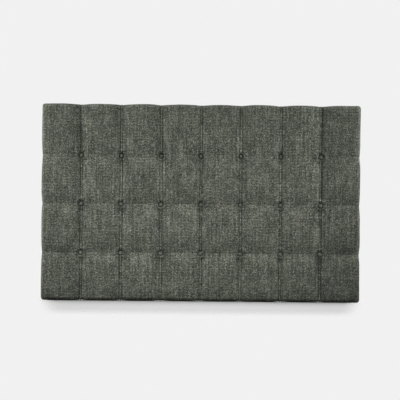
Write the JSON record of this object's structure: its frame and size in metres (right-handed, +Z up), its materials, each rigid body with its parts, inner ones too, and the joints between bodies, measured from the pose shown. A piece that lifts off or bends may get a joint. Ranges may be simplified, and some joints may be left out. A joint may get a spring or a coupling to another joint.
{
  "type": "upholstered headboard",
  "caption": "Wide rectangular wall-hung headboard, upholstered in dark tweed, with a grid of seams, pleats and covered buttons, on a timber frame with a hooked rail.",
  "frame": {"origin": "middle of the wall rail's row of screw holes, in the plane of the wall", "axes": "+X along the headboard, +Y into the wall, so that the front faces -Y, +Z up"},
  "size_m": [1.6, 0.0977, 0.988],
  "materials": {
    "tweed": "dark green-grey flecked tweed",
    "button_tweed": "the cover's tweed, stretched over a domed button",
    "wadding": "white polyester wadding",
    "foam": "cream upholstery foam",
    "plywood": "unfinished plywood",
    "softwood": "planed softwood",
    "staple_wire": "galvanised wire",
    "twine": "waxed tufting twine",
    "toggle_plastic": "moulded nylon",
    "dust_cloth": "black non-woven cloth",
    "rail_aluminium": "mill-finish extrusion",
    "screw_steel": "zinc plated",
    "bumper_rubber": "black moulded rubber"
  },
  "bodies": {
    "wall": {"wall_rail": "rail_aluminium"},
    "headboard": {"front_cover": "tweed", "bottom_buttons": "button_tweed", "middle_buttons": "button_tweed", "top_buttons": "button_tweed", "wadding": "wadding", "foam_pad": "foam", "face_board": "plywood", "frame_top_rail": "softwood", "frame_bottom_rail": "softwood", "frame_left_stile": "softwood", "frame_left_upright": "softwood", "frame_right_upright": "softwood", "frame_right_stile": "softwood", "frame_staples": "staple_wire", "board_staples": "staple_wire", "cover_staples": "staple_wire", "dust_cover_staples": "staple_wire", "tufting_twines": "twine", "twine_toggles": "toggle_plastic", "dust_cover": "dust_cloth", "hanging_rail": "rail_aluminium", "hanging_rail_screws": "screw_steel", "wall_bumpers": "bumper_rubber", "bumper_screws": "screw_steel"}
  },
  "joints": [
    {"name": "lift_off", "type": "slide", "parent": "wall", "child": "headboard", "axis": [0, 0, 1], "range_m": [0, 0.015]}
  ]
}
